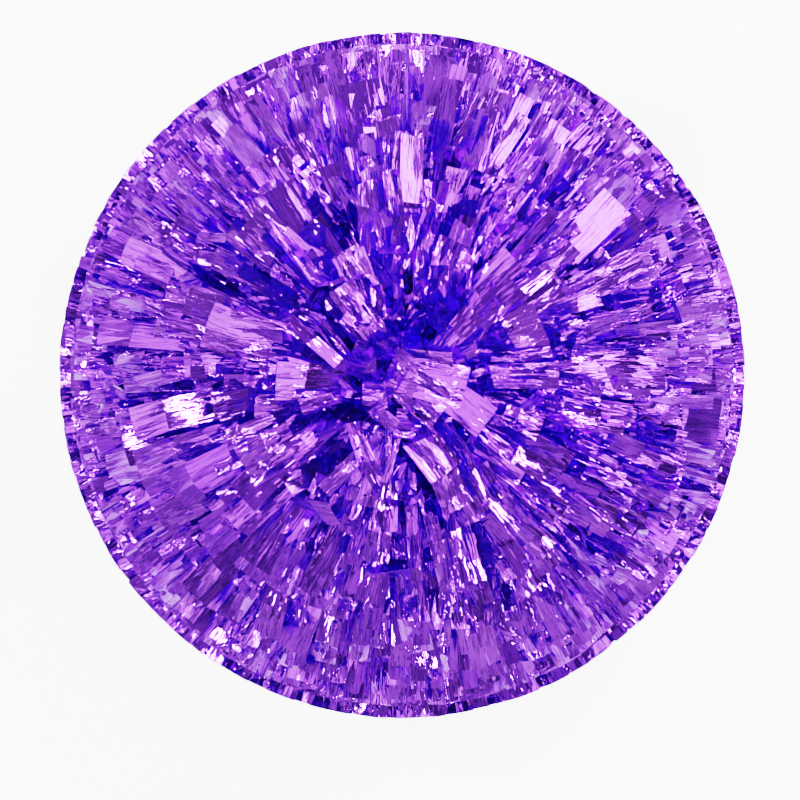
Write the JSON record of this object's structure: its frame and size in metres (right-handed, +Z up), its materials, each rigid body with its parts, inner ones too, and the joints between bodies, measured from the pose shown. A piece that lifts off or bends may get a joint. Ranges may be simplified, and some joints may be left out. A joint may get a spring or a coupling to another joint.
{
  "type": "cheer pom pom",
  "caption": "Round metallic foil cheer pom pom: two tufts of fringe streamers wound on spools that swivel on a hidden baton handle.",
  "frame": {"origin": "centre of the flat patch on the lower crown, on the surface that the pom pom rests on", "axes": "+Z up along the baton's axis, from the lower tuft to the upper one; the X and Y directions are free, because both tufts are round"},
  "size_m": [0.3, 0.3, 0.2872],
  "materials": {
    "purple_foil": "polished",
    "baton_plastic": "satin",
    "plug_plastic": "satin",
    "screw_steel": "polished",
    "tape_film": "gloss",
    "tie_nylon": "satin"
  },
  "bodies": {
    "baton": {"baton_tube": "baton_plastic", "upper_end_plug": "plug_plastic", "upper_swivel_screw": "screw_steel", "upper_washer": "screw_steel", "lower_end_plug": "plug_plastic", "lower_swivel_screw": "screw_steel", "lower_washer": "screw_steel"},
    "upper_tuft": {"upper_spool": "plug_plastic", "upper_end_cap": "plug_plastic", "upper_header_tape": "tape_film", "upper_cable_tie": "tie_nylon", "upper_crown_01": "purple_foil", "upper_crown_02": "purple_foil", "upper_crown_03": "purple_foil", "upper_crown_04": "purple_foil", "upper_crown_05": "purple_foil", "upper_crown_06": "purple_foil", "upper_crown_07": "purple_foil", "upper_crown_08": "purple_foil", "upper_crown_09": "purple_foil", "upper_skirt_header": "purple_foil", "upper_bunch_01": "purple_foil", "upper_bunch_02": "purple_foil", "upper_bunch_03": "purple_foil", "upper_bunch_04": "purple_foil", "upper_bunch_05": "purple_foil", "upper_bunch_06": "purple_foil", "upper_bunch_07": "purple_foil", "upper_bunch_08": "purple_foil", "upper_bunch_09": "purple_foil", "upper_bunch_10": "purple_foil", "upper_bunch_11": "purple_foil", "upper_bunch_12": "purple_foil"},
    "lower_tuft": {"lower_spool": "plug_plastic", "lower_end_cap": "plug_plastic", "lower_header_tape": "tape_film", "lower_cable_tie": "tie_nylon", "lower_crown_01": "purple_foil", "lower_crown_02": "purple_foil", "lower_crown_03": "purple_foil", "lower_crown_04": "purple_foil", "lower_crown_05": "purple_foil", "lower_crown_06": "purple_foil", "lower_crown_07": "purple_foil", "lower_crown_08": "purple_foil", "lower_crown_09": "purple_foil", "lower_skirt_header": "purple_foil", "lower_bunch_01": "purple_foil", "lower_bunch_02": "purple_foil", "lower_bunch_03": "purple_foil", "lower_bunch_04": "purple_foil", "lower_bunch_05": "purple_foil", "lower_bunch_06": "purple_foil", "lower_bunch_07": "purple_foil", "lower_bunch_08": "purple_foil", "lower_bunch_09": "purple_foil", "lower_bunch_10": "purple_foil", "lower_bunch_11": "purple_foil", "lower_bunch_12": "purple_foil"}
  },
  "joints": [
    {"name": "upper_tuft_swivel", "type": "hinge", "parent": "baton", "child": "upper_tuft", "pos_m": [0, 0, 0.19038], "axis": [0, 0, 1], "continuous": true},
    {"name": "lower_tuft_swivel", "type": "hinge", "parent": "baton", "child": "lower_tuft", "pos_m": [0, 0, 0.08798], "axis": [0, 0, 1], "continuous": true}
  ]
}
